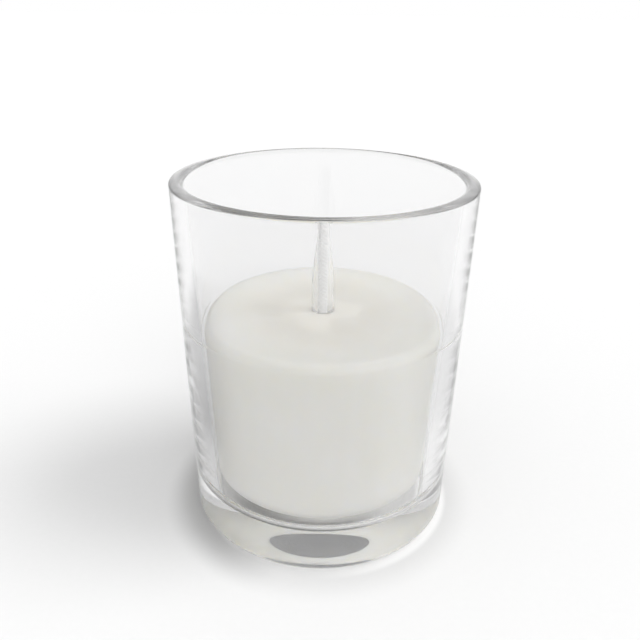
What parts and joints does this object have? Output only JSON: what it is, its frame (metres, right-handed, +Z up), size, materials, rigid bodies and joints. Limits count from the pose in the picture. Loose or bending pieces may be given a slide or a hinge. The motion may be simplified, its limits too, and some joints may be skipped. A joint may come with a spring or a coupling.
{
  "type": "tea light candle in a glass holder",
  "caption": "Round white wax candle with a standing waxed wick, in a clear tapered glass holder with a rounded rim and a thick base.",
  "frame": {"origin": "centre of the surface that the glass stands on", "axes": "+Z up along the axis of the glass and the wick; the part is the same all round it"},
  "size_m": [0.052, 0.052, 0.065],
  "materials": {
    "clear_glass": "polished",
    "white_wax": "satin, slightly translucent wax",
    "waxed_cotton": "braided cotton soaked in wax",
    "tinned_steel": "tin plated sheet"
  },
  "bodies": {
    "root": {"glass_holder": "clear_glass", "wax_body": "white_wax", "wick": "waxed_cotton", "wick_tab": "tinned_steel"}
  },
  "joints": []
}
